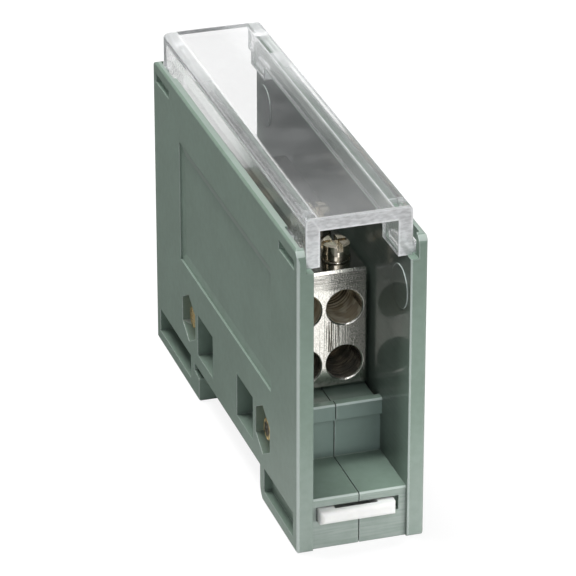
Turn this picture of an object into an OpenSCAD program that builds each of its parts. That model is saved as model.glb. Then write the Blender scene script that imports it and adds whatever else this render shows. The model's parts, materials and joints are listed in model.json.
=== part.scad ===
// Single-pole power distribution block for a 35 mm mounting rail.
// Two moulded half shells close round a plated brass terminal block and a sliding rail clip.
// A clear cover snaps into the top. X runs across the case, Y from front to rear, Z up.

/* [Case] */
// Length of the case from front to rear
case_length = 76; // [72:0.5:90]
// Width of the closed case
case_width = 20; // [19.5:0.5:26]
// Height of the side walls above the feet
case_height = 50; // [48:0.5:60]
// Thickness of each side wall
wall = 2.6; // [2.4:0.1:2.9]
// Radius of the upper corners of the side walls
top_corner = 2; // [1:0.25:3]
// Radius of the lower end corners of the feet
foot_corner = 0.5; // [0.25:0.25:1.5]
// Bevel along the outer edges of the shells
edge_bevel = 0.35; // [0.2:0.05:0.6]
// Bevel along the inner edges of the walls at both ends
inner_bevel = 0.2; // [0.1:0.05:0.3]
// Width of the groove that shows as the seam between the halves
seam_gap = 0.16; // [0.1:0.02:0.3]
// Depth of that groove
seam_depth = 0.6; // [0.3:0.1:1]

/* [Base] */
// How far the base sits behind the ends of the side walls
base_recess = 0.8; // [0.4:0.1:1.5]
// Height of the lower step
step_height = 8.4; // [8:0.1:9.5]
// Distance of the riser from the end of the case
riser_inset = 12.8; // [11:0.2:13]
// How far the ledge stands out from the riser
ledge_reach = 0.8; // [0.5:0.1:2]
// Height of the top of the ledge
ledge_top = 17; // [16.8:0.1:20]
// Thickness of the ledge
ledge_thickness = 2; // [1.5:0.1:3.5]
// Depth of the front strip of the ledge that reaches the wall
ledge_strip = 2.6; // [1:0.1:3]
// Height of the rib along the outer edge of the ledge
rib_rise = 0.65; // [0.3:0.05:0.9]
// Width of the rib's flat top
rib_top = 1.4; // [0.8:0.1:2]
// Bevel along the outer edges of the step and the rib
base_bevel = 0.25; // [0.1:0.05:0.4]
// Width of the groove between ledge and wall
ledge_groove = 0.5; // [0.3:0.1:1]
// Depth of that groove
groove_depth = 1.8; // [1:0.1:2.2]

/* [Rail] */
// Width of the mounting rail
rail_width = 35; // [35:0.1:35.4]
// Thickness of the rail's flange
rail_thickness = 1; // [0.8:0.1:1.2]
// Play of the rail between the hook and the front foot
rail_play = 0.6; // [0.3:0.1:1]
// Depth of the rail notch, which is also the height of the feet
notch_depth = 5.75; // [5.6:0.05:6.2]
// Length of the front foot
front_foot = 18.5; // [18:0.1:19.5]
// Radius of the rear lower corner of the front foot
foot_lead_in = 2.5; // [1:0.25:4]
// How far the fixed hook reaches over the rail's flange
hook_reach = 2.6; // [2:0.1:3]
// Height of the hook's slot at its mouth
hook_mouth = 1.75; // [1.6:0.05:2.2]
// Height of the hook's slot at its root
hook_root = 1.25; // [1.2:0.05:1.5]

/* [Case fixings] */
// Distance from the front to the middle of the two cross screws
fixing_middle = 37.1; // [36.5:0.1:38]
// Distance between the two cross screws
fixing_spread = 39.8; // [38.6:0.2:41]
// Height of the cross screws
fixing_height = 12.4; // [12:0.1:12.8]
// Diameter of the cross screws
case_screw_d = 4; // [3:0.5:4]
// Diameter of the cross screws' heads
case_head_d = 7; // [6:0.2:7.2]
// Height of the cross screws' heads
case_head_height = 2.4; // [1.8:0.1:2.8]
// Length of the thread on the cross screws
case_thread = 9; // [6:0.5:12]
// Depth of the counterbores round the heads
counterbore_depth = 3.2; // [3:0.1:4]
// Width of the nuts across their flats
nut_across = 7; // [6:0.1:7.2]
// Thickness of the nuts
nut_thickness = 3.2; // [2.4:0.1:3.4]
// Depth of the nuts below the side face
nut_sink = 1.6; // [1:0.1:2]
// Depth of the screw ends below the side face
screw_end_sink = 0.7; // [0.3:0.1:1]
// Clearance round the screws and nuts
fixing_clearance = 0.15; // [0.1:0.05:0.2]
// Clearance round the screw heads
head_clearance = 0.3; // [0.2:0.05:0.4]
// Diameter of the locating pegs between the halves
peg_d = 3; // [2:0.25:3.5]
// Length of the locating pegs
peg_length = 2.5; // [1.5:0.25:3]
// Distance between the two pegs
peg_spread = 17; // [15:0.5:20]
// Height of the pegs
peg_height = 11; // [10:0.25:12]
// Clearance round and beyond the pegs
peg_clearance = 0.1; // [0.05:0.05:0.2]

/* [Side recesses] */
// Length of the shallow panel on each side face
panel_length = 48.4; // [40:0.2:52]
// Height of the panel's lower edge
panel_bottom = 21; // [19:0.2:24]
// Height of the panel
panel_height = 20.5; // [15:0.5:22]
// Depth of the panel
panel_depth = 0.5; // [0.3:0.05:0.7]
// Depth of the sharp step round the panel
panel_step = 0.3; // [0.1:0.05:0.3]
// Width of the panel's sloping border inside the step
panel_slope = 1.6; // [0.8:0.1:2]
// Distance between the two square pockets
pocket_spread = 21.4; // [20:0.2:22]
// Length of the square pockets
pocket_length = 8.5; // [7:0.1:9]
// Height of the square pockets
pocket_height = 7.3; // [6:0.1:8]
// Height of the lower edge of the square pockets
pocket_bottom = 8.1; // [7.5:0.1:9]
// Depth of the square pockets
pocket_depth = 3.5; // [2:0.1:4]
// Margin round the pockets in the feet
foot_pocket_margin = 2; // [1.5:0.1:2.6]
// Height of the pockets in the feet
foot_pocket_height = 4.1; // [3:0.1:4.4]
// Depth of the pocket in the front foot
foot_pocket_depth = 1.3; // [1:0.1:1.8]
// Depth of the pocket in the rear foot
rear_pocket_depth = 4.5; // [2:0.1:5]
// Diameter of the round marks on the inner walls
mark_d = 6.8; // [5:0.2:8]
// Distance of the marks from the ends of the case
mark_inset = 4.6; // [4:0.1:6]
// Height of the marks
mark_height = 40; // [35:0.5:42]
// Height of the marks above the inner walls
mark_rise = 0.15; // [0.1:0.05:0.2]

/* [Cover seat] */
// Depth of the seat for the cover below the top of the walls
seat_depth = 3.7; // [3.4:0.1:4.5]
// Thickness of the wall beside the cover
thin_wall = 1.35; // [1.2:0.05:1.5]
// Wall left outside the lead-in of each snap window
window_skin = 0.9; // [0.4:0.05:1.1]
// Distance of the snap windows from the ends of the case
window_inset = 1.5; // [1.2:0.1:1.6]
// Length of the snap windows
window_length = 7.5; // [6:0.1:9]
// Height of the snap windows
window_height = 1.45; // [1.3:0.05:1.6]
// Height of the window's sill above the seat
window_sill = 0.25; // [0.15:0.05:0.4]

/* [Cover] */
// Gap between the cover and the wall beside it
cover_gap = 0.45; // [0.3:0.05:0.6]
// How far the cover stands above the walls
cover_rise = 4.2; // [3.5:0.1:6]
// Thickness of the cover's top
cover_plate = 2.1; // [1.5:0.1:2.5]
// Thickness of the cover's sides
cover_side = 2.2; // [1.8:0.1:2.6]
// How far the cover's sides reach below the top of the walls
side_drop = 1.6; // [1:0.1:2.5]
// Radius of the cover's long upper edges
cover_round = 0.8; // [0.4:0.1:1.2]
// Distance of the cover's front edge from the front of the walls
cover_front_inset = 1.7; // [1.6:0.1:2.5]
// Distance of the cover's rear edge from the rear of the walls
cover_rear_inset = 0.1; // [0:0.1:1.4]
// Clearance round the lips in their windows
lip_clearance = 0.1; // [0.05:0.05:0.2]
// Bevel on the lips
lip_bevel = 0.4; // [0.2:0.05:0.5]
// How far the lips stop short of the rear ends of their legs
lip_setback = 1.2; // [0.5:0.1:2]

/* [Terminal block] */
// Gap between the terminal block and the walls
block_gap = 0.4; // [0.4:0.1:1]
// Height of the terminal block
block_height = 19.6; // [19:0.1:22]
// Distance of the block's ends from the ends of the case
block_inset = 17.8; // [16:0.1:18.5]
// Height of the seat pad above the ledge
pad_height = 0.5; // [0.3:0.1:1]
// How far the pad sits in from the block's ends
pad_inset = 1.4; // [0.5:0.1:3]
// Half width of the seat pad
pad_half_width = 5; // [4:0.1:6]
// Bevel on the block's edges
block_bevel = 0.4; // [0.2:0.05:0.6]
// Diameter of the wire holes
wire_d = 5.6; // [5:0.1:5.9]
// Height of the lower wire holes above the block's bottom
lower_row = 4.05; // [3.8:0.05:4.5]
// Distance between the two rows of wire holes
row_pitch = 9.3; // [8.5:0.1:9.6]
// Depth of the upper wire holes
upper_depth = 10.5; // [9:0.1:10.8]
// Depth of the lower wire holes
lower_depth = 18; // [17:0.1:18.4]
// Diameter of the inlet hole
inlet_d = 10; // [8:0.1:10.4]
// Height of the inlet hole above the block's bottom
inlet_height = 8; // [8:0.1:10]
// Depth of the inlet hole
inlet_depth = 15; // [14:0.1:15.4]
// Bevel at the mouths of the holes
mouth_bevel = 0.2; // [0.1:0.05:0.25]
// Height of the keys that hold the block between the walls
key_height = 10; // [6:0.5:12]
// Width of the keys
key_width = 2.4; // [2:0.1:2.6]
// Height of the keys' lower ends above the block's bottom
key_bottom = 4.6; // [4:0.1:6]
// Depth of the key slots in the block
key_depth = 0.9; // [0.6:0.05:1]
// Clearance round the keys
key_clearance = 0.1; // [0.05:0.05:0.2]

/* [Clamp screws] */
// Diameter of the wire clamp screws
clamp_d = 4.4; // [4:0.1:5]
// Diameter of the inlet clamp screws
inlet_clamp_d = 6; // [5:0.1:6.4]
// How far the wire clamp screws stand above the block when they are backed out
clamp_proud = 2.9; // [2:0.1:4]
// How far the inlet clamp screws stand above the block when they are backed out
inlet_proud = 0; // [0:0.1:3]
// Distance of the upper clamp screws behind the block's front
upper_clamp = 4.6; // [4:0.1:5]
// Distance of the lower clamp screws behind the block's front
lower_clamp = 14; // [13.8:0.1:14.4]
// Distance of the rear inlet screw from the block's rear
inlet_clamp_inset = 4; // [3.8:0.1:4.2]
// Distance between the inlet screws
inlet_clamp_pitch = 7; // [6.8:0.1:7.2]
// Clearance between the clamp screws and their holes
thread_clearance = 0.05; // [0.03:0.01:0.1]
// Pitch of the screw threads, which are cut as plain rings
thread_pitch = 0.7; // [0.5:0.05:1]
// Depth of the screw threads
thread_depth = 0.3; // [0.2:0.05:0.4]
// Plain rim above the thread of the clamp screws
plain_rim = 2.3; // [0.5:0.1:2.6]
// Width of the crossed driver slots
driver_slot = 0.9; // [0.6:0.1:1.2]
// Depth of the crossed driver slots
driver_depth = 1.1; // [0.8:0.1:1.5]
// Bevel on the rims of the screws
rim_bevel = 0.3; // [0.2:0.05:0.5]

/* [Rail clip] */
// Width of the rail clip
clip_width = 11.9; // [10:0.1:12.2]
// Sideways place of the rail clip from the seam
clip_shift = -0.6; // [-0.7:0.1:0]
// How far the clip's head stands in front of the walls
clip_proud = 1; // [0.6:0.1:2]
// Thickness of the clip's head
clip_head = 2.1; // [1.4:0.05:2.4]
// Radius of the head's outer edges
head_round = 0.7; // [0.3:0.05:0.7]
// Thickness of the clip's tongue
clip_tongue = 2.1; // [1.6:0.1:2.3]
// How far the tongue reaches past the front foot
tongue_reach = 2.4; // [2:0.1:3]
// Bevel under the tip of the tongue
tongue_bevel = 1.4; // [0.8:0.1:1.6]
// Clearance round the clip
clip_clearance = 0.15; // [0.1:0.01:0.18]
// Pull of the clip before its neck meets the base
clip_travel = 3.5; // [3:0.1:3.6]
// Length of the clip's neck
clip_neck = 2.6; // [2:0.1:3]
// Thickness of the base in front of the neck
base_front = 1.5; // [1.2:0.1:2]
// Gap beside the head at the right end of its slot
slot_side_gap = 0.9; // [0.5:0.1:1]
// Width of the driver eye through the head
eye_width = 6.7; // [4:0.1:8]
// Length of the driver eye from front to rear
eye_length = 4.5; // [0.8:0.1:4.8]
// How far the driver eye reaches in front of the base
eye_lead = 0.7; // [0.1:0.05:0.8]
// Length of the bar between the neck and the window
window_bar = 1.2; // [1:0.1:1.6]
// Thickness of the post that stops the clip
post_thickness = 1; // [0.8:0.1:1.4]
// Width of the window in the tongue
clip_window = 3; // [2.8:0.1:4]
// Length of the relaxed spring in the window
spring_length = 5.2; // [4.8:0.1:5.6]
// Outer diameter of the spring
spring_d = 2.1; // [1.6:0.1:2.2]
// Diameter of the spring's wire
spring_wire = 0.35; // [0.25:0.05:0.4]
// Turns of the spring
spring_turns = 5; // [4:1:6]

/* [Hidden] */
$fn = 48;
over = 1;

shell_color = "#6f7e75";
clear_color = [0.88, 0.93, 0.95, 0.35];
nickel_color = "#cbc8be";
brass_color = "#c8a55a";
nylon_color = "#f1f1ee";
spring_color = "#b9bcc0";

half_width = case_width / 2;
inner_half = half_width - wall;
front_y = -(case_length + clip_proud) / 2 + clip_proud;

hook_y = front_foot + rail_width + rail_play;
lip_y = hook_y - hook_reach;
ledge_inset = riser_inset - ledge_reach;

fixing_y = [fixing_middle - fixing_spread / 2, fixing_middle + fixing_spread / 2];
pocket_y = [fixing_middle - pocket_spread / 2, fixing_middle + pocket_spread / 2];
peg_y = [fixing_middle - peg_spread / 2, fixing_middle + peg_spread / 2];
mark_y = [mark_inset, case_length - mark_inset];
case_screw_length = case_width - counterbore_depth - screw_end_sink;

seat_z = case_height - seat_depth;
window_z = seat_z + window_sill;
window_y = [window_inset, case_length - window_inset - window_length];
cover_half = half_width - thin_wall - cover_gap;
cover_top = case_height + cover_rise;
cover_front = cover_front_inset;
cover_rear = case_length - cover_rear_inset;
leg_y = [
    [cover_front, window_y[0] + window_length - lip_clearance],
    [window_y[1] + lip_clearance, window_y[1] + window_length - lip_clearance]
];
lip_x = half_width - window_skin - lip_clearance;

block_bottom = ledge_top + pad_height;
block_top = block_bottom + block_height;
block_length = case_length - 2 * block_inset;
block_half = inner_half - block_gap;
block_width = 2 * block_half;
wire_web = (block_width - 2 * wire_d) / 3;
wire_pitch = wire_d + wire_web;
upper_row = lower_row + row_pitch;
drill_point = 0.3;
key_y = block_inset + block_length / 2;
key_z = block_bottom + key_bottom;
key_x = block_half - key_depth + key_clearance;
inlet_clamp_y = block_inset + block_length - inlet_clamp_inset;

tongue_top = notch_depth - rail_thickness - clip_clearance;
tongue_bottom = tongue_top - clip_tongue;
head_bottom = tongue_top + clip_clearance;
head_top = head_bottom + clip_head;
neck_front = base_recess + base_front + clip_travel;
neck_rear = neck_front + clip_neck;
post_front = neck_rear + window_bar + clip_clearance;
post_rear = post_front + post_thickness;
window_front = post_front - clip_clearance;
window_rear = post_rear + spring_length;
tongue_tip = front_foot + tongue_reach;
spring_z = (tongue_top + tongue_bottom) / 2;

// Sets a piece that is drawn from the front of the walls into the part's frame.
module placed() {
    translate([0, front_y, 0]) children();
}

// Runs a Y-Z outline along X.
module along_x(from, to) {
    translate([from, 0, 0]) rotate([90, 0, 90]) linear_extrude(to - from) children();
}

// Runs an X-Z outline along Y.
module along_y(from, to) {
    translate([0, to, 0]) rotate([90, 0, 0]) linear_extrude(to - from) children();
}

// Box between two corners.
module span(low, high) {
    translate(low) cube(high - low);
}

// Cylinder along X.
module rod_x(from, to, y, z, d) {
    translate([from, y, z]) rotate([0, 90, 0]) cylinder(d = d, h = to - from);
}

// What a radius takes off a square corner that opens towards +X and +Y.
module corner_waste(r) {
    difference() {
        translate([-over, -over]) square(r + over);
        translate([r, r]) circle(r);
    }
}

// Rectangle with its four corners bevelled.
module bevelled_rectangle(low, high, bevel) {
    polygon([
        [low.x + bevel, low.y], [high.x - bevel, low.y], [high.x, low.y + bevel], [high.x, high.y - bevel],
        [high.x - bevel, high.y], [low.x + bevel, high.y], [low.x, high.y - bevel], [low.x, low.y + bevel]
    ]);
}

// Open notch for the rail with the undercut hook at its rear.
module rail_notch() {
    polygon([
        [front_foot, -over], [front_foot, notch_depth], [hook_y, notch_depth],
        [hook_y, notch_depth - hook_root], [lip_y, notch_depth - hook_mouth], [lip_y, -over]
    ]);
    translate([front_foot, 0]) mirror([1, 0]) corner_waste(foot_lead_in);
    translate([lip_y, 0]) corner_waste(foot_corner / 2);
}

// Side view of a wall.
module wall_outline() {
    difference() {
        square([case_length, case_height]);
        corner_waste(foot_corner);
        translate([case_length, 0]) mirror([1, 0]) corner_waste(foot_corner);
        translate([0, case_height]) mirror([0, 1]) corner_waste(top_corner);
        translate([case_length, case_height]) mirror([1, 0]) mirror([0, 1]) corner_waste(top_corner);
        rail_notch();
    }
}

// Side view of the front ledge with the rib along its edge.
module ledge_outline() {
    bottom = ledge_top - ledge_thickness;
    crest = ledge_top + rib_rise;
    polygon([
        [ledge_inset, bottom], [ledge_inset, crest - base_bevel], [ledge_inset + base_bevel, crest],
        [ledge_inset + rib_top, crest], [ledge_inset + ledge_strip, ledge_top],
        [riser_inset + ledge_strip, ledge_top], [riser_inset + ledge_strip, bottom]
    ]);
}

// Side view of the base between the walls, with its steps, risers and ledges.
module base_outline() {
    difference() {
        union() {
            polygon([
                [base_recess, 0], [base_recess, step_height - base_bevel],
                [base_recess + base_bevel, step_height],
                [case_length - base_recess - base_bevel, step_height],
                [case_length - base_recess, step_height - base_bevel], [case_length - base_recess, 0]
            ]);
            translate([riser_inset, 0]) square([case_length - 2 * riser_inset, ledge_top]);
            ledge_outline();
            translate([case_length, 0]) mirror([1, 0]) ledge_outline();
        }
        rail_notch();
    }
}

// Side view of the flat on which the halves meet, inside the seam groove.
module mating_outline() {
    inset = base_recess + seam_depth;
    riser = riser_inset + seam_depth;
    difference() {
        union() {
            translate([inset, seam_depth])
                square([case_length - 2 * inset, step_height - 2 * seam_depth]);
            translate([riser, seam_depth])
                square([case_length - 2 * riser, ledge_top - 2 * seam_depth]);
        }
        translate([front_foot - seam_depth, -over])
            square([hook_y - front_foot + 2 * seam_depth, notch_depth + seam_depth + over]);
    }
}

// Shallow panel with a step and sloping borders in the left face.
module panel_recess() {
    low = [fixing_middle - panel_length / 2, panel_bottom];
    high = low + [panel_length, panel_height];
    face = -half_width;
    step = face + panel_step;
    floor = face + panel_depth;
    intersection() {
        translate([0, 0, low.y - over]) linear_extrude(panel_height + 2 * over) polygon([
            [face - over, low.x], [step, low.x], [floor, low.x + panel_slope],
            [floor, high.x - panel_slope], [step, high.x], [face - over, high.x]
        ]);
        along_y(low.x - over, high.x + over) polygon([
            [face - over, low.y], [step, low.y], [floor, low.y + panel_slope],
            [floor, high.y - panel_slope], [step, high.y], [face - over, high.y]
        ]);
    }
}

// Pockets in the left face: two square ones and one in each foot.
module side_pockets() {
    outside = -half_width - over;
    for (y = pocket_y)
        span([outside, y - pocket_length / 2, pocket_bottom],
            [-half_width + pocket_depth, y + pocket_length / 2, pocket_bottom + pocket_height]);
    for (foot = [[0, front_foot, foot_pocket_depth], [hook_y, case_length, rear_pocket_depth]])
        span([outside, foot[0] + foot_pocket_margin, foot_pocket_margin],
            [-half_width + foot[2], foot[1] - foot_pocket_margin, foot_pocket_margin + foot_pocket_height]);
}

// Seat, snap windows and lead-ins for the cover in the left wall.
module cover_seat() {
    span([-half_width + thin_wall, -over, seat_z], [0, case_length + over, case_height + over]);
    for (y = window_y) {
        span([-half_width - over, y, window_z],
            [-half_width + thin_wall + over, y + window_length, window_z + window_height]);
        span([-half_width + window_skin, y, window_z],
            [-half_width + thin_wall + over, y + window_length, case_height + over]);
    }
}

// What the bevels take off the inner edges of the left wall's ends.
module inner_edges() {
    for (y = [0, case_length])
        translate([-inner_half, y, -over]) linear_extrude(case_height + 2 * over)
            rotate(45) square(inner_bevel * sqrt(2), center = true);
}

// Left half before its screw, clip and peg holes are made.
module half_shell() {
    seam = -seam_gap / 2;
    difference() {
        union() {
            intersection() {
                union() {
                    along_x(-half_width, -inner_half) wall_outline();
                    along_x(-half_width + wall / 2, seam) base_outline();
                }
                along_y(-over, case_length + over)
                    bevelled_rectangle([-half_width, 0], [half_width, case_height], edge_bevel);
                translate([0, 0, -over]) linear_extrude(case_height + 2 * over)
                    bevelled_rectangle([-half_width, 0], [half_width, case_length], edge_bevel);
            }
            along_x(-over, 0) mating_outline();
            span([-pad_half_width, block_inset + pad_inset, ledge_top - over],
                [seam, block_inset + block_length - pad_inset, block_bottom]);
            span([-inner_half - over, key_y - key_width / 2, key_z],
                [-key_x, key_y + key_width / 2, key_z + key_height]);
            for (y = mark_y)
                rod_x(-inner_half - over, -inner_half + mark_rise, y, mark_height, mark_d);
        }
        inner_edges();
        cover_seat();
        panel_recess();
        side_pockets();
        span([-inner_half, ledge_inset + ledge_strip, ledge_top - groove_depth],
            [-inner_half + ledge_groove, case_length - ledge_inset - ledge_strip, ledge_top + over]);
    }
}

// Space for the rail clip in the base: the head's slot and the tongue's channel.
module clip_channel() {
    reach = clip_width / 2 + clip_clearance;
    left = clip_shift - reach;
    right = clip_shift + reach;
    slot_right = right + slot_side_gap - clip_clearance;
    slot_top = head_top + clip_clearance;
    channel_front = base_recess + base_front;
    channel_bottom = tongue_bottom - clip_clearance;
    difference() {
        union() {
            span([left, -over, tongue_top], [slot_right, channel_front, slot_top]);
            span([left, base_recess, tongue_top], [right, neck_rear + clip_clearance, slot_top]);
            span([left, channel_front, channel_bottom], [right, front_foot + over, head_bottom]);
        }
        span([clip_shift - clip_window / 2 + clip_clearance, post_front, 0],
            [clip_shift + clip_window / 2 - clip_clearance, post_rear, notch_depth]);
    }
}

// Clearance holes for the cross screws.
module fixing_holes() {
    for (y = fixing_y)
        rod_x(-half_width - over, half_width + over, y, fixing_height, case_screw_d + 2 * fixing_clearance);
}

// Six-sided prism along X with a corner at the top.
module hexagon_x(from, to, across) {
    along_x(from, to) rotate(90) circle(d = across / cos(30), $fn = 6);
}

// Left half: hex pockets for the nuts and sockets for the pegs.
module left_shell() {
    color(shell_color) placed() difference() {
        half_shell();
        clip_channel();
        fixing_holes();
        for (y = fixing_y) translate([0, y, fixing_height])
            hexagon_x(-half_width - over, -half_width + nut_sink + nut_thickness,
                nut_across + 2 * fixing_clearance);
        for (y = peg_y)
            rod_x(-peg_length - peg_clearance, over, y, peg_height, peg_d + 2 * peg_clearance);
    }
}

// Right half: counterbores for the screw heads and the pegs.
module right_shell() {
    color(shell_color) placed() difference() {
        union() {
            mirror([1, 0, 0]) half_shell();
            for (y = peg_y) rod_x(-peg_length, over, y, peg_height, peg_d);
        }
        clip_channel();
        fixing_holes();
        for (y = fixing_y)
            rod_x(half_width - counterbore_depth, half_width + over, y, fixing_height,
                case_head_d + 2 * head_clearance);
    }
}

// Cross section of the cover, whose sides reach a given distance below the wall tops.
module cover_section(drop) {
    low = case_height - drop;
    difference() {
        translate([-cover_half, low]) square([2 * cover_half, cover_top - low]);
        translate([-cover_half + cover_side, low - over])
            square([2 * (cover_half - cover_side), cover_top - cover_plate - low + over]);
        translate([-cover_half, cover_top]) mirror([0, 1]) corner_waste(cover_round);
        translate([cover_half, cover_top]) mirror([1, 0]) mirror([0, 1]) corner_waste(cover_round);
    }
}

// Outward lips on both sides of a pair of legs.
module lip_section() {
    bottom = window_z + lip_clearance;
    top = window_z + window_height - lip_clearance;
    for (side = [0, 1]) mirror([side, 0]) polygon([
        [cover_half - cover_side / 2, bottom], [lip_x - lip_bevel, bottom], [lip_x, bottom + lip_bevel],
        [lip_x, top], [cover_half, top], [cover_half - cover_side / 2, top]
    ]);
}

// Clear cover: a channel with four legs that stand on the seat.
module clear_cover() {
    color(clear_color) placed() {
        along_y(cover_front, cover_rear) cover_section(side_drop);
        for (y = leg_y) {
            along_y(y[0], y[1]) cover_section(seat_depth);
            along_y(y[0], y[1] - lip_setback) lip_section();
        }
    }
}

// Bar with all its edges bevelled, from the origin along +Y and +Z.
module bevelled_bar(width, length, height, bevel) {
    half = width / 2;
    intersection() {
        along_y(0, length) bevelled_rectangle([-half, 0], [half, height], bevel);
        along_x(-half, half) bevelled_rectangle([0, 0], [length, height], bevel);
        linear_extrude(height) bevelled_rectangle([-half, 0], [half, length], bevel);
    }
}

// Drilled hole along +Y from the origin, with a bevelled mouth and a drill point.
module drilled_hole(d, depth) {
    rotate([-90, 0, 0]) {
        translate([0, 0, -over]) cylinder(d = d, h = depth + over);
        translate([0, 0, depth]) cylinder(d1 = d, d2 = 0, h = d * drill_point);
        cylinder(d1 = d + 2 * mouth_bevel, d2 = d, h = mouth_bevel);
    }
}

// Threaded hole for a clamp screw, from a bore's axis up through the block's top.
module clamp_hole(x, y, z, d) {
    translate([x, y, z]) cylinder(d = d + 2 * thread_clearance, h = block_height - z + over);
}

// Plated brass block with its wire holes, inlet hole, clamp holes and key slots.
module terminal_block() {
    columns = [-wire_pitch / 2, wire_pitch / 2];
    color(nickel_color) placed() translate([0, block_inset, block_bottom]) difference() {
        bevelled_bar(block_width, block_length, block_height, block_bevel);
        for (x = columns) {
            translate([x, 0, upper_row]) drilled_hole(wire_d, upper_depth);
            translate([x, 0, lower_row]) drilled_hole(wire_d, lower_depth);
            clamp_hole(x, upper_clamp, upper_row, clamp_d);
            clamp_hole(x, lower_clamp, lower_row, clamp_d);
        }
        translate([0, block_length, inlet_height]) mirror([0, 1, 0]) drilled_hole(inlet_d, inlet_depth);
        for (i = [0, 1])
            clamp_hole(0, block_length - inlet_clamp_inset - i * inlet_clamp_pitch, inlet_height,
                inlet_clamp_d);
        for (side = [-1, 1])
            span([side * block_half - key_depth, (block_length - key_width) / 2 - key_clearance,
                    key_bottom - key_clearance],
                [side * block_half + key_depth, (block_length + key_width) / 2 + key_clearance,
                    key_bottom + key_height + key_clearance]);
    }
}

// Outline of a thread of outer radius r along a shank.
function thread_outline(r, from, to) = [
    for (i = [0 : 2 * floor((to - from) / thread_pitch)])
        [r - i % 2 * thread_depth, from + i * thread_pitch / 2]
];

// Headless screw that stands on the origin, with crossed driver slots in its top.
module grub_screw(d, length) {
    r = d / 2;
    difference() {
        rotate_extrude() polygon(concat(
            [[0, 0], [r - rim_bevel, 0]],
            thread_outline(r, rim_bevel, length - plain_rim),
            [[r, length - rim_bevel], [r - rim_bevel, length], [0, length]]
        ));
        for (turn = [0, 90]) rotate(turn)
            span([-d, -driver_slot / 2, length - driver_depth], [d, driver_slot / 2, length + over]);
    }
}

// Clamp screw backed out until its tip is level with the roof of its bore.
module clamp_screw(x, y, bore_height, bore_d, d, proud) {
    roof = block_bottom + bore_height + bore_d / 2;
    color(nickel_color) placed() translate([x, y, roof]) grub_screw(d, block_top + proud - roof);
}

module upper_clamp_screw(side) {
    clamp_screw(side * wire_pitch / 2, block_inset + upper_clamp, upper_row, wire_d, clamp_d, clamp_proud);
}

module lower_clamp_screw(side) {
    clamp_screw(side * wire_pitch / 2, block_inset + lower_clamp, lower_row, wire_d, clamp_d, clamp_proud);
}

module inlet_clamp_screw(place) {
    y = inlet_clamp_y - place * inlet_clamp_pitch;
    clamp_screw(0, y, inlet_height, inlet_d, inlet_clamp_d, inlet_proud);
}

// Pan head screw along X, from its end near the left face to its head in the right shell.
module case_screw(y) {
    shank = case_screw_d / 2;
    head = case_head_d / 2;
    top = case_screw_length + case_head_height;
    round = case_head_height / 2;
    color(brass_color) placed() translate([-half_width + screw_end_sink, y, fixing_height])
        rotate([0, 90, 0]) difference() {
            union() {
                rotate_extrude() polygon(concat(
                    [[0, 0], [shank - rim_bevel, 0]],
                    thread_outline(shank, rim_bevel, case_thread),
                    [[shank, case_screw_length + rim_bevel], [0, case_screw_length + rim_bevel]]
                ));
                rotate_extrude() {
                    translate([0, case_screw_length]) square([head, case_head_height - round]);
                    translate([0, case_screw_length]) square([head - round, case_head_height]);
                    intersection() {
                        translate([head - round, top - round]) circle(round);
                        translate([0, case_screw_length]) square([head, case_head_height]);
                    }
                }
            }
            for (turn = [45, 135]) rotate(turn)
                span([-head / 2, -driver_slot / 2, top - driver_depth],
                    [head / 2, driver_slot / 2, top + over]);
        }
}

// Hex nut at the floor of its pocket in the left shell.
module case_nut(y) {
    outer = -half_width + nut_sink;
    corner = nut_across / cos(30) / 2;
    color(brass_color) placed() translate([0, y, fixing_height]) difference() {
        intersection() {
            hexagon_x(outer, outer + nut_thickness, nut_across);
            translate([outer, 0, 0]) rotate([0, 90, 0]) rotate_extrude() polygon([
                [0, 0], [nut_across / 2, 0], [corner, rim_bevel],
                [corner, nut_thickness], [0, nut_thickness]
            ]);
        }
        rod_x(outer - over, outer + nut_thickness + over, 0, 0, case_screw_d + 2 * thread_clearance);
    }
}

// Side view of the rail clip.
module clip_outline() {
    difference() {
        polygon([
            [-clip_proud, head_bottom], [neck_front, head_bottom], [neck_front, tongue_bottom],
            [tongue_tip - tongue_bevel, tongue_bottom], [tongue_tip, tongue_bottom + tongue_bevel],
            [tongue_tip, tongue_top], [neck_rear, tongue_top], [neck_rear, head_top], [-clip_proud, head_top]
        ]);
        translate([-clip_proud, head_bottom]) corner_waste(head_round);
        translate([-clip_proud, head_top]) mirror([0, 1]) corner_waste(head_round);
    }
}

// Nylon clip: a head with an eye for a driver, a neck, and a tongue that locks under the rail.
module rail_clip() {
    half = clip_width / 2;
    eye_y = base_recess - eye_lead;
    color(nylon_color) placed() translate([clip_shift, 0, 0]) difference() {
        along_x(-half, half) clip_outline();
        linear_extrude(head_top + over) for (side = [0, 1]) mirror([side, 0])
            translate([-half, -clip_proud]) corner_waste(head_round);
        span([-eye_width / 2, eye_y, tongue_bottom], [eye_width / 2, eye_y + eye_length, head_top + over]);
        span([-clip_window / 2, window_front, 0], [clip_window / 2, window_rear, notch_depth]);
    }
}

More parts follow.
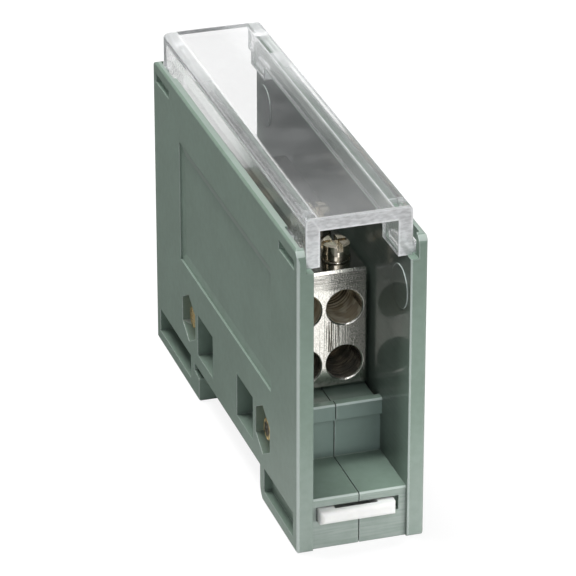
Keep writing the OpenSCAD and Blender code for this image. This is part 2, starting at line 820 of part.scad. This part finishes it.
// Helical spring between the post in the base and the rear edge of the clip's window.
module clip_spring() {
    sides = 6;
    steps = 10 * spring_turns;
    coil = (spring_d - spring_wire) / 2;
    start = post_rear + spring_wire / 2;
    rise = spring_length - spring_wire;
    function ring(i) = [
        for (k = [0 : sides - 1])
            let (
                turn = 360 * spring_turns * i / steps,
                radius = coil + spring_wire / 2 * cos(360 * k / sides),
                shift = spring_wire / 2 * sin(360 * k / sides)
            )
            [
                clip_shift + radius * sin(turn),
                start + rise * i / steps + shift,
                spring_z + radius * cos(turn)
            ]
    ];
    points = [for (i = [0 : steps]) each ring(i)];
    sleeve = [
        for (i = [0 : steps - 1], k = [0 : sides - 1])
            let (a = i * sides + k, b = i * sides + (k + 1) % sides)
            each [[a, b, b + sides], [a, b + sides, a + sides]]
    ];
    caps = [
        [for (k = [sides - 1 : -1 : 0]) k],
        [for (k = [0 : sides - 1]) steps * sides + k]
    ];
    color(spring_color) placed() polyhedron(points, concat(sleeve, caps));
}

left_shell();
right_shell();
clear_cover();
terminal_block();
upper_clamp_screw(-1);  // upper_clamp_left
upper_clamp_screw(1);  // upper_clamp_right
lower_clamp_screw(-1);  // lower_clamp_left
lower_clamp_screw(1);  // lower_clamp_right
inlet_clamp_screw(1);  // inlet_clamp_front
inlet_clamp_screw(0);  // inlet_clamp_rear
case_screw(fixing_y[0]);  // case_screw_front
case_screw(fixing_y[1]);  // case_screw_rear
case_nut(fixing_y[0]);  // case_nut_front
case_nut(fixing_y[1]);  // case_nut_rear
rail_clip();
clip_spring();
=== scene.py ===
import json
from math import cos, pi, radians, sin, tau

import bpy
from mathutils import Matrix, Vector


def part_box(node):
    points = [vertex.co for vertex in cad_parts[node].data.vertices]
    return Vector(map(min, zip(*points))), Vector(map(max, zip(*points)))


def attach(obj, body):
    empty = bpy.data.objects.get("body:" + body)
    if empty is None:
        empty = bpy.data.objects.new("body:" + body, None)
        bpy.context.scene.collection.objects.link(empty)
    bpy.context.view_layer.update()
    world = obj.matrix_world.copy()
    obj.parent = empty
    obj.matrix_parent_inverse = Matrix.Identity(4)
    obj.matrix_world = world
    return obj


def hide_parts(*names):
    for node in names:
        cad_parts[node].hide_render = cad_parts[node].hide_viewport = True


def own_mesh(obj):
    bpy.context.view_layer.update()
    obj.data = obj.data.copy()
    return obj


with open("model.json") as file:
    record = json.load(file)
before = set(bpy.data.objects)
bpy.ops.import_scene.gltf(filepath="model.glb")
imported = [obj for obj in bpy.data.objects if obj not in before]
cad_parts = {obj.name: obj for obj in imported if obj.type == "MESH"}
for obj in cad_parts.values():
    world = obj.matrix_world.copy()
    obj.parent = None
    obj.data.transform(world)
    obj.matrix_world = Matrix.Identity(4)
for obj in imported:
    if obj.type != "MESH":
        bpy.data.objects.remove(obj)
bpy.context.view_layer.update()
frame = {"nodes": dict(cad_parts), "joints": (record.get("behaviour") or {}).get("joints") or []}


# View: a long lens a little above the block and to its left,
# as the photograph was taken, with the image taken as 576 pixels square.
image_pixels = 576
focal_pixels = 3796.1
tilt_down = radians(26.1126)
turn_right = radians(17.6629)
view = bpy.data.objects.new("view", bpy.data.cameras.new("view"))
view.data.sensor_width = 36
view.data.lens = view.data.sensor_width * focal_pixels / image_pixels
view.location = (-0.160507, -0.505752, 0.285461)
view.rotation_euler = (pi / 2 - tilt_down, 0, -turn_right)
bpy.context.scene.collection.objects.link(view)
bpy.context.scene.camera = view
bpy.context.scene.view_settings.view_transform = "Standard"


# Table: a plain white sheet under the block. The eye and clear plastic see it nearly white, and shiny
# faces see it dark, apart from a white patch in front of the block. To all other light it is a grey
# diffuse sheet that throws some of it back up, and it keeps a soft shadow.
class Wire:
    """A socket in a finish's node tree; arithmetic on it adds Math nodes."""

    def __init__(self, tree, socket=None):
        self.tree = tree
        self.socket = socket

    def node(self, kind, settings=None, sockets=None, output=0):
        made = self.tree.nodes.new("ShaderNode" + kind)
        for name, value in (settings or {}).items():
            setattr(made, name, value)
        for name, value in (sockets or {}).items():
            if isinstance(value, Wire):
                self.tree.links.new(value.socket, made.inputs[name])
            else:
                made.inputs[name].default_value = value
        return Wire(self.tree, made.outputs[output] if made.outputs else None)

    def maths(self, operation, first, second):
        return self.node("Math", {"operation": operation}, {0: first, 1: second})

    def __add__(self, other):
        return self.maths("ADD", self, other)

    def __radd__(self, other):
        return self.maths("ADD", other, self)

    def __sub__(self, other):
        return self.maths("SUBTRACT", self, other)

    def __rsub__(self, other):
        return self.maths("SUBTRACT", other, self)

    def __mul__(self, other):
        return self.maths("MULTIPLY", self, other)

    def __rmul__(self, other):
        return self.maths("MULTIPLY", other, self)

    def __gt__(self, other):
        return self.maths("GREATER_THAN", self, other)

    def __lt__(self, other):
        return self.maths("LESS_THAN", self, other)

    def __abs__(self):
        return self.node("Math", {"operation": "ABSOLUTE"}, {0: self})

    def ease(self, low, high):
        """0 below low, 1 above high, and smooth between."""
        return self.node("MapRange", {"interpolation_type": "SMOOTHSTEP"},
                         {"Value": self, "From Min": low, "From Max": high})

    def past(self, edge, blur):
        """0 before an edge and 1 past it, smooth over a blur on both sides of it."""
        return self.ease(edge - blur, edge + blur)

    def tint(self, none, full):
        """Colour that goes from none to full as this value goes from 0 to 1."""
        return self.node("Mix", {"data_type": "RGBA"}, {0: self, 6: none, 7: full}, 2)


def start_finish(name):
    material = bpy.data.materials.new(name)
    material.use_nodes = True
    material.node_tree.nodes.clear()
    return material, Wire(material.node_tree)


def axes(wire, vector, names="XYZ"):
    return [wire.node("SeparateXYZ", {}, {0: vector}, name) for name in names]


def background_rays(wire):
    """1 for rays that see the bare background: from the eye, in gloss and through clear plastic."""
    eye = wire.node("LightPath", output="Is Camera Ray")
    gloss = wire.node("LightPath", output="Is Glossy Ray")
    clear = wire.node("LightPath", output="Is Transmission Ray")
    scattered = wire.node("LightPath", output="Diffuse Depth") > 0.5
    return (eye + gloss + clear).ease(0, 1) * (1 - scattered)


def mirror_rays(wire):
    """1 for rays that a shiny surface throws back, which meet the dark side of the studio."""
    gloss = wire.node("LightPath", output="Is Glossy Ray")
    clear = wire.node("LightPath", output="Is Transmission Ray")
    return gloss * (1 - clear)


patch_front = -0.083
patch_rear = 0
corner_front = -0.11
corner_left = 0.002
white_sheet, wire = start_finish("white_sheet")
across, depth = axes(wire, wire.node("TexCoord", output="Object"), "XY")
in_front = depth.past(patch_front, 0.005)
in_corner = across.past(corner_left, 0.004) * depth.past(corner_front, 0.005)
bright_patch = (in_front + in_corner).ease(0, 1) * (1 - depth.past(patch_rear, 0.02))
shine = (mirror_rays(wire) * (1 - bright_patch)).tint((1, 1, 1, 1), (0.06, 0.065, 0.07, 1))
glow = wire.node("Emission", sockets={"Color": shine, "Strength": 0.88})
shade = wire.node("BsdfDiffuse", sockets={"Color": (0.14, 0.14, 0.14, 1)})
seen = wire.node("AddShader", sockets={0: glow, 1: shade})
bounce = wire.node("BsdfDiffuse", sockets={"Color": (0.45, 0.45, 0.45, 1)})
sheet = wire.node("MixShader", sockets={0: background_rays(wire), 1: bounce, 2: seen})
wire.node("OutputMaterial", sockets={"Surface": sheet})

table_reach = 4
corners = [(x * table_reach, y * table_reach, 0) for x, y in ((-1, -1), (1, -1), (1, 1), (-1, 1))]
table_mesh = bpy.data.meshes.new("table")
table_mesh.from_pydata(corners, [], [(0, 1, 2, 3)])
table_mesh.materials.append(white_sheet)
table = bpy.data.objects.new("table", table_mesh)
bpy.context.scene.collection.objects.link(table)


# Studio: a pale room, grey above the table, in which shiny faces see a light wall in front, a paler
# ceiling and dark sides. Two soft boxes stand in front and a stronger one hangs overhead to the left.
# A low white card lifts the foot of the block.
room = bpy.data.worlds.new("white_room")
room.use_nodes = True
room.node_tree.nodes.clear()
bpy.context.scene.world = room
wire = Wire(room.node_tree)
ahead, height = axes(wire, wire.node("TexCoord", output="Generated"), "YZ")
ceiling = height.ease(0.7, 0.95)
dark_sides = mirror_rays(wire) * ahead.ease(-0.6, -0.35) * (1 - 0.7 * ceiling)
grey_above = height.ease(0.1, 0.35) * (1 - mirror_rays(wire))
room_shade = (grey_above + dark_sides).ease(0, 1).tint((0.9, 0.9, 0.9, 1), (0.15, 0.155, 0.16, 1))
walls = wire.node("Background", sockets={"Color": (1, 1, 1, 1), "Strength": 0.28})
backdrop = wire.node("Background", sockets={"Color": room_shade})
surround = wire.node("MixShader", sockets={0: background_rays(wire), 1: walls, 2: backdrop})
wire.node("OutputWorld", sockets={"Surface": surround})


def soft_box(name, place, aim, size, power, tone=(1, 1, 1), in_gloss=True):
    """Area lamp that the eye never sees, and that metal and clear plastic see only if in_gloss."""
    lamp = bpy.data.lights.new(name, "AREA")
    lamp.shape = "RECTANGLE"
    lamp.size, lamp.size_y = size
    lamp.energy = power
    lamp.color = tone
    box = bpy.data.objects.new(name, lamp)
    box.location = place
    direction = Vector(aim) - Vector(place)
    box.rotation_euler = direction.to_track_quat("-Z", "Y").to_euler()
    box.visible_camera = False
    box.visible_glossy = in_gloss
    box.visible_transmission = in_gloss
    bpy.context.scene.collection.objects.link(box)


soft_box("front_soft_box", place=(0.3, -0.75, 1.05), aim=(0, 0, 0.03), size=(0.6, 0.6), power=3)
soft_box("level_soft_box", place=(-0.25, -0.72, 0.52), aim=(0, 0, 0.025), size=(0.4, 0.4), power=0.8,
         tone=(0.9, 0.94, 1.08))
soft_box("top_soft_box", place=(-0.2, 0.3, 1.2), aim=(0, 0, 0.05), size=(0.5, 0.5), power=19.5,
         in_gloss=False)
soft_box("low_card", place=(0.03, -0.09, 0.005), aim=(0, -0.036, 0.006), size=(0.08, 0.008), power=0.031,
         in_gloss=False)


# Half shells: two grey-green moulded halves of the case, screwed together on the middle plane.
# They are satin outside, where the mould was spark eroded, and polished on the inner walls.
# The scuffed foot fronts and the wall tops carry painted light, and the inner walls painted shade.
def dress(material, *names):
    for name in names:
        slots = frame["nodes"][name].data.materials
        slots.clear()
        slots.append(material)


def solid_box(name):
    """Lowest and highest corner of a CAD solid in millimetres."""
    low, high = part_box(name)
    return low * 1000, high * 1000


def millimetres(wire):
    place = wire.node("TexCoord", output="Object")
    return wire.node("VectorMath", {"operation": "SCALE"}, {0: place, "Scale": 1000.0})


def grain(wire, place, scale, detail=2.0):
    """Noise from 0 to 1, with scale as grains per millimetre."""
    return wire.node("TexNoise", {}, {"Vector": place, "Scale": scale, "Detail": detail})


def stretched(wire, place, factors):
    return wire.node("VectorMath", {"operation": "MULTIPLY"}, {0: place, 1: factors})


def rounded(wire, radius):
    """Normal of edges that are worn round to a radius in metres."""
    return wire.node("Bevel", {"samples": 6}, {"Radius": radius})


case_low, case_high = solid_box("left_shell")
case_middle = (case_low.y + case_high.y) / 2
case_half_length = (case_high.y - case_low.y) / 2
wall_thickness = 2.6
outer_face = -case_low.x
inner_face = outer_face - wall_thickness
step_height = 8.4
pocket_height = 20
panel_height = 41.5
mark_height = 40
mark_reach = 4

case_plastic, wire = start_finish("case_plastic")
place = millimetres(wire)
x, y, z = axes(wire, place)
nx, ny, nz = axes(wire, wire.node("TexCoord", output="Normal"))
soft_edge = rounded(wire, 0.00025)
edge_x, edge_y, edge_z = axes(wire, soft_edge)
mottle = grain(wire, place, 0.12, 4.0)
blotch = grain(wire, place, 0.8, 5.0)
speckle = grain(wire, place, 4.0)
flow_lines = grain(wire, stretched(wire, place, (0.15, 0.15, 3.0)), 1.0)
crease_shade = 1 - wire.node("AmbientOcclusion", {"only_local": True}, {"Distance": 0.0008}, "AO")

faces_front = ny < -0.5
inner_wall = (abs(x) < inner_face + 0.3) * (abs(nx) > 0.9)
inside = (abs(x) < inner_face + 0.05) * (z > step_height + 0.2)
on_side = abs(x) > outer_face - 1
foot_lines = (abs(x) < inner_face) * (z < step_height - 0.4) * flow_lines.ease(0.3, 0.7)
# Scuffs on the front faces near the front end, with painted light from the table that grows towards the
# foot.
front_end = faces_front * (y < case_low.y + 7.5) * (1 - z.ease(2, 26))
scuffs_and_foot_light = front_end * (0.3 + 0.3 * blotch + 0.32 * foot_lines)
# Painted light on the wall tops.
lit_wall_top = (nz > 0.9) * (z > case_high.z - 0.5)
# Painted light on the panel's upper step and sloping border, which face down.
panel_step = (nz < -0.5) * (abs(z - panel_height) < 0.4)
panel_slope = (nz < -0.05) * (nz > -0.3)
panel_border_light = on_side * (panel_step + 0.3 * panel_slope)
pocket_floor = (nz > 0.5) * (abs(x) > inner_face + 0.2) * (z < pocket_height)
# Painted shade on the inner walls, deeper towards the top and fading near the open ends, most of all low
# down.
near_end = abs(y - case_middle).ease(case_half_length - 7, case_half_length + 0.5)
open_end = near_end * (1 - 0.6 * z.ease(24, 40))
inner_wall_shade = 0.65 + 0.22 * z.ease(26, 42) - 0.65 * open_end + 0.25 * (flow_lines - 0.5)
# Painted highlights on edges that turn left or up, on the step's front edges and on the mark's rim.
left_edge = (edge_x < -0.25) * (edge_x > -0.95) * (edge_y < -0.25) * (crease_shade < 0.3)
upper_edge = (edge_z > 0.25) * (edge_z < 0.9) * (1 - (nz > 0.1) * (nz < 0.95))
step_edge = faces_front * (nz > 0.5)
mark_side = (abs(x) < inner_face + 0.01) * (abs(x) > inner_face - 0.2) * (abs(nx) < 0.5)
mark_rim = mark_side * (abs(z - mark_height) < mark_reach)
painted_edge_highlights = 0.65 * left_edge + 0.25 * upper_edge + 0.4 * step_edge + 0.7 * mark_rim

cloudy = (0.5 * mottle + 0.5 * blotch).ease(0.35, 0.65)
plain = cloudy.tint((0.168, 0.226, 0.184, 1), (0.188, 0.252, 0.208, 1))
# Painted shade on the floors of the pockets in the sides.
pocket_shade = (0.4 * pocket_floor).tint(plain, (0.09, 0.115, 0.097, 1))
# Scuffs and painted light on the foot fronts, and painted light on the wall tops and the panel's upper
# border.
pale = (scuffs_and_foot_light + 0.42 * lit_wall_top + panel_border_light).tint(pocket_shade, (0.345, 0.385, 0.36, 1))
# Painted light, paler and bluer, on the front faces inside the case.
body = (0.5 * inside * faces_front).tint(pale, (0.20, 0.26, 0.25, 1))
# Painted shade on the inner walls.
shaded_walls = (inner_wall * inner_wall_shade).tint(body, (0.03, 0.037, 0.032, 1))
lit = painted_edge_highlights.tint(shaded_walls, (0.68, 0.75, 0.71, 1))
# Painted shade in creases.
color = (0.5 * crease_shade.ease(0.35, 0.9)).tint(lit, (0.03, 0.035, 0.03, 1))
bump = wire.node("Bump", {}, {
    "Strength": 0.12,
    "Distance": 0.00004,
    "Height": 0.6 * speckle + 0.4 * mottle,
    "Normal": soft_edge,
})
shader = wire.node("BsdfPrincipled", {}, {
    "Base Color": color,
    "Roughness": 0.45 + 0.08 * speckle,
    "Specular IOR Level": 0.35,
    "Coat Weight": 0.4 * inner_wall + 0.9 * inside * (nz > 0.9),
    "Coat Roughness": 0.07,
    "Normal": bump,
})
wire.node("OutputMaterial", sockets={"Surface": shader})
dress(case_plastic, "left_shell", "right_shell")


# Terminal block: a drawn brass bar, sawn and milled at its ends, drilled and nickel plated.
# Milling leaves upright lines on the ends, sawing leaves level ones near their tops, and drawing
# leaves lines along the sides. The ends are darker at the foot and carry a dark painted reflection to
# the right, the top carries painted shade, and the plating is dull in the bores.
block_low, block_high = solid_box("terminal_block")
block_middle = (block_low.y + block_high.y) / 2
block_half_length = (block_high.y - block_low.y) / 2
row_middle = 26.2
sawn_height = block_high.z - 3.1
skin = 0.2
side_skin = 1

plated_brass, wire = start_finish("plated_brass")
place = millimetres(wire)
x, y, z = axes(wire, place)
ny, nz = axes(wire, wire.node("TexCoord", output="Normal"), "YZ")
soft_edge = rounded(wire, 0.00015)
milled = grain(wire, stretched(wire, place, (5.0, 5.0, 0.12)), 1.0, 3.0)
scored = grain(wire, stretched(wire, place, (0.35, 4.0, 6.0)), 1.0, 3.0)
drawn = grain(wire, stretched(wire, place, (4.0, 0.08, 4.0)), 1.0, 3.0)
drill_rings = grain(wire, stretched(wire, place, (0.1, 2.2, 0.1)), 1.0, 1.0)
pits = grain(wire, place, 5.0, 3.0)
bore_cloud = grain(wire, place, 0.5).ease(0.4, 0.6)

end_face = abs(ny) > 0.8
sawn = z.past(sawn_height, 0.4)
upper_row = z.past(row_middle, 0.2)
between_ends = abs(y - block_middle) < block_half_length - skin
between_faces = (z < block_high.z - skin) * (z > block_low.z + skin)
bore = (abs(x) < block_high.x - side_skin) * between_faces * between_ends
between_holes = (abs(x - 1.4) < 1.3) * (abs(z - row_middle) < 2.6)
lines = end_face * (sawn * scored + (1 - sawn) * milled) + (1 - end_face) * drawn
# Darker towards the foot, more so to the right.
darker_foot = (1 - z.ease(block_low.z + 0.8, block_low.z + 3)) * (0.3 + 0.7 * x.ease(-3, 1))
# Painted reflection of the dark right wall darkens the ends to the right, and the sawn strip right of the
# middle.
right_and_foot_darkening = end_face * (x.ease(0.5, 5.5) + darker_foot + 0.6 * sawn * x.ease(-1, 2)).ease(0, 1)
# Dark saw marks in the sawn strip, deepened to the right by painted reflection.
saw_marks_and_reflection = end_face * sawn * (0.45 + 0.55 * x.ease(-1, 3)) * scored.ease(0.45, 0.6)
far_in = y.ease(block_low.y + 2.7, block_low.y + 7.7)
deep_rings = drill_rings.ease(0.48, 0.56) * (1 - upper_row * (1 - far_in))

plated = pits.ease(0.35, 0.65).tint((0.72, 0.70, 0.64, 1), (0.90, 0.885, 0.83, 1))
darkened_plating = (0.55 * right_and_foot_darkening).tint(plated, (0.25, 0.245, 0.22, 1))
pitted = (0.6 * right_and_foot_darkening * pits.ease(0.5, 0.6)).tint(darkened_plating, (0.14, 0.135, 0.115, 1))
scratched = (end_face * between_holes * milled.ease(0.5, 0.56)).tint(pitted, (0.10, 0.09, 0.07, 1))
shaded = saw_marks_and_reflection.tint(scratched, (0.30, 0.295, 0.27, 1))
# Painted shade on the top of the block.
shaded_top = (0.65 * (nz > 0.9)).tint(shaded, (0.22, 0.215, 0.19, 1))
# The upper row of bores is painted lighter than the lower: painted light.
shaded_bore = bore_cloud.tint((0.46, 0.45, 0.40, 1), (0.85, 0.78, 0.66, 1))
lit_bore = bore_cloud.tint((0.66, 0.59, 0.46, 1), (1.0, 0.94, 0.78, 1))
drilled = upper_row.tint(shaded_bore, lit_bore)
ringed = ((0.45 + 0.4 * upper_row) * deep_rings).tint(drilled, (0.10, 0.09, 0.07, 1))
color = bore.tint(shaded_top, ringed)
face_marks = 0.8 * lines + pits * (0.5 + 0.9 * right_and_foot_darkening)
bore_marks = drill_rings * (4.0 + 6.0 * upper_row)
bump = wire.node("Bump", {}, {
    "Strength": 0.35,
    "Distance": 0.00006,
    "Height": (1 - bore) * face_marks + bore * bore_marks,
    "Normal": soft_edge,
})
shader = wire.node("BsdfPrincipled", {}, {
    "Base Color": color,
    "Metallic": 1 - bore * (0.22 + 0.32 * upper_row),
    "Roughness": 0.07 + 0.08 * lines + 0.1 * end_face * sawn + 0.1 * bore,
    "Normal": bump,
})
wire.node("OutputMaterial", sockets={"Surface": shader})
dress(plated_brass, "terminal_block")


# Clamp screws: headless turned brass screws with crossed slots, nickel plated,
# one over each wire hole and two over the inlet. Their faced tops are paler and less metallic: painted
# light.
plated_screw, wire = start_finish("plated_screw")
place = millimetres(wire)
(nz,) = axes(wire, wire.node("TexCoord", output="Normal"), "Z")
# Painted light on the screw tops.
lit_top = nz > 0.7
turned = grain(wire, stretched(wire, place, (1.0, 1.0, 9.0)), 1.0)
side = turned.ease(0.3, 0.7).tint((0.64, 0.57, 0.46, 1), (0.88, 0.82, 0.71, 1))
bump = wire.node("Bump", {}, {
    "Strength": 0.15,
    "Distance": 0.00004,
    "Height": turned,
    "Normal": rounded(wire, 0.0001),
})
shader = wire.node("BsdfPrincipled", {}, {
    "Base Color": lit_top.tint(side, (0.92, 0.83, 0.66, 1)),
    "Metallic": 1 - 0.13 * lit_top,
    "Roughness": 0.03 + 0.05 * turned,
    "Normal": bump,
})
wire.node("OutputMaterial", sockets={"Surface": shader})
dress(plated_screw, "upper_clamp_left", "upper_clamp_right", "lower_clamp_left", "lower_clamp_right",
      "inlet_clamp_front", "inlet_clamp_rear")


# Case screws and nuts: steel cross screws with a yellow passivated plating,
# which close the halves from the right into nuts in hexagonal pockets on the left.
# The nuts are worn a little domed, and the front screw end carries a dark painted reflection.
front_nut_low, front_nut_high = solid_box("case_nut_front")
rear_nut_low, rear_nut_high = solid_box("case_nut_rear")
front_axis = (front_nut_low + front_nut_high) / 2
rear_axis = (rear_nut_low + rear_nut_high) / 2
pair_middle = (front_axis.y + rear_axis.y) / 2
pair_half_pitch = (rear_axis.y - front_axis.y) / 2

yellow_fastener, wire = start_finish("yellow_fastener")
place = millimetres(wire)
x, y, z = axes(wire, place)
stain = grain(wire, place, 1.6, 3.0)
along = abs(y - pair_middle) - pair_half_pitch
rise = z - front_axis.z
from_axis = along * along + rise * rise
on_left = x < 0
# Painted dark reflection on the front screw end inside its nut.
front_end_dark_reflection = on_left * (y < 0) * (1 - (from_axis + 0.8 * stain).ease(1.4, 2.4))
plating = stain.ease(0.3, 0.7).tint((0.72, 0.51, 0.20, 1), (0.86, 0.64, 0.28, 1))
bump = wire.node("Bump", {}, {
    "Strength": 1.0,
    "Distance": 0.001,
    "Height": on_left * (0.5 * stain - 0.1 * from_axis),
    "Normal": rounded(wire, 0.0001),
})
shader = wire.node("BsdfPrincipled", {}, {
    "Base Color": front_end_dark_reflection.tint(plating, (0.06, 0.04, 0.015, 1)),
    "Metallic": 0.8,
    "Roughness": 0.12 + 0.1 * stain,
    "Normal": bump,
})
wire.node("OutputMaterial", sockets={"Surface": shader})
dress(yellow_fastener, "case_screw_front", "case_screw_rear", "case_nut_front", "case_nut_rear")


# Rail clip: moulded natural nylon, a little translucent, that slides in the base
# and is pulled out with a driver to free the rail.
white_nylon, wire = start_finish("white_nylon")
place = millimetres(wire)
cloud = grain(wire, place, 0.5, 3.0)
bump = wire.node("Bump", {}, {
    "Strength": 0.1,
    "Distance": 0.00005,
    "Height": grain(wire, place, 3.0),
    "Normal": rounded(wire, 0.0003),
})
shader = wire.node("BsdfPrincipled", {}, {
    "Base Color": cloud.ease(0.3, 0.7).tint((0.73, 0.73, 0.71, 1), (0.77, 0.77, 0.75, 1)),
    "Roughness": 0.45 + 0.1 * cloud,
    "Subsurface Weight": 0.2,
    "Subsurface Radius": (0.001, 0.001, 0.0008),
    "Normal": bump,
})
wire.node("OutputMaterial", sockets={"Surface": shader})
dress(white_nylon, "rail_clip")


# Clip spring: a coil of drawn steel wire in the clip's window, between the post in the base
# and the window's rear edge. The clip presses it together as it is pulled out, and it draws the clip back;
# here the coil is built at its rest length and rides with the case.
spring_wire, wire = start_finish("spring_wire")
place = millimetres(wire)
draw_marks = grain(wire, place, 2.0)
shader = wire.node("BsdfPrincipled", {}, {
    "Base Color": draw_marks.tint((0.45, 0.45, 0.46, 1), (0.62, 0.62, 0.63, 1)),
    "Metallic": 1.0,
    "Roughness": 0.25 + 0.15 * draw_marks,
})
wire.node("OutputMaterial", sockets={"Surface": shader})

wire_radius = 0.000175
spring_turns = 5
spring_steps = 24 * spring_turns
wire_sides = 10
spring_low, spring_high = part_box("clip_spring")
spring_middle = (spring_low + spring_high) / 2
spring_length = spring_high.y - spring_low.y
coil_radius = (spring_high.z - spring_low.z) / 2 - wire_radius
coil_points = []
for step in range(spring_steps + 1):
    share = step / spring_steps
    turn = tau * spring_turns * share
    for side in range(wire_sides):
        around = tau * side / wire_sides
        radius = coil_radius + wire_radius * cos(around)
        coil_points.append((
            spring_middle.x + radius * sin(turn),
            spring_low.y + wire_radius * (1 + sin(around)) + (spring_length - 2 * wire_radius) * share,
            spring_middle.z + radius * cos(turn),
        ))
wire_end = list(range(wire_sides))
coil_faces = [wire_end, [spring_steps * wire_sides + side for side in reversed(wire_end)]]
for step in range(spring_steps):
    for side in range(wire_sides):
        corner = step * wire_sides + side
        beside = step * wire_sides + (side + 1) % wire_sides
        coil_faces.append((corner, corner + wire_sides, beside + wire_sides, beside))
coil_mesh = bpy.data.meshes.new("return_spring")
coil_mesh.from_pydata(coil_points, [], coil_faces)
coil_mesh.shade_smooth()
coil_mesh.materials.append(spring_wire)
return_spring = bpy.data.objects.new("return_spring", coil_mesh)
bpy.context.scene.collection.objects.link(return_spring)
clip_travel = next(joint["range_m"][1] for joint in frame["joints"] if joint["name"] == "clip_pull")
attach(return_spring, "case")
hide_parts("clip_spring")
1 - clip_travel / spring_length
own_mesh(return_spring)


# Clear cover: a polycarbonate channel with four legs that snap into the walls.
# Its faces are polished, and its cut ends, lips and leg faces are slightly frosted.
def outer_edges(wire, reach):
    """1 on outer edges, 0 at a reach in metres from them."""
    return 1 - wire.node("AmbientOcclusion", {"inside": True, "only_local": True}, {"Distance": reach}, "AO")


cover_low, cover_high = solid_box("clear_cover")
channel_half_width = cover_high.x - 3
legs_middle = 1
legs_reach = 28

clear_plastic, wire = start_finish("clear_plastic")
place = millimetres(wire)
x, y, z = axes(wire, place)
nx, ny, nz = axes(wire, wire.node("TexCoord", output="Normal"))
soft_edge = rounded(wire, 0.0004)
haze = grain(wire, place, 0.12).ease(0.35, 0.65)
scuff = grain(wire, stretched(wire, place, (0.9, 2.2, 2.2)), 1.0, 4.0).ease(0.35, 0.65)

faces_sideways = abs(nx) > 0.8
side_face = faces_sideways * (z > cover_low.z + 0.7)
lip_face = faces_sideways * (abs(x) > cover_high.x - 0.1)
on_leg = (abs(x) < channel_half_width + 0.2) * (abs(y - legs_middle) > legs_reach)
leg_side = faces_sideways * on_leg * (z < cover_high.z - 2.2)
rail_face = (nz > 0.3) * (abs(x) > channel_half_width)
top_face = (nz > 0.9) * (abs(x) < channel_half_width)
end_face = abs(ny).ease(0.6, 0.9)
foot_face = (-1 * nz).ease(0.6, 0.9) * (z < case_high.z)
front_haze = 1 - y.ease(-36, -8)
rear_haze = x.ease(-1, 5) * y.ease(8, 34)
# The white frost on all outer edges is a painted highlight.
frost_and_edge_highlight = (end_face * (0.52 + 0.2 * scuff) + 0.6 * foot_face + 0.35 * lip_face
           + leg_side * (0.12 + 0.16 * scuff)
           + rail_face * (0.07 + 0.05 * haze + 0.3 * y.ease(0, 35))
           + top_face * (0.01 + 0.03 * haze + 0.06 * front_haze + 0.14 * rear_haze)
           + 1.2 * outer_edges(wire, 0.0004))

glass = wire.node("BsdfPrincipled", {}, {
    "Base Color": (1, 1, 1, 1),
    "Roughness": 0.02 + 0.08 * side_face + 0.1 * rail_face,
    "IOR": 1.49,
    "Transmission Weight": 1.0,
    "Normal": soft_edge,
})
frost = wire.node("BsdfPrincipled", {}, {
    "Base Color": (0.88, 0.89, 0.89, 1),
    "Roughness": 0.4,
    "IOR": 1.49,
    "Transmission Weight": 0.15,
    "Normal": soft_edge,
})
surface = wire.node("MixShader", sockets={0: frost_and_edge_highlight, 1: glass, 2: frost})
passing = wire.node("BsdfTransparent", sockets={"Color": (0.94, 0.95, 0.95, 1)})
shadow_ray = wire.node("LightPath", output="Is Shadow Ray")
shader = wire.node("MixShader", sockets={0: shadow_ray, 1: surface, 2: passing})
wire.node("OutputMaterial", sockets={"Surface": shader})
dress(clear_plastic, "clear_cover")
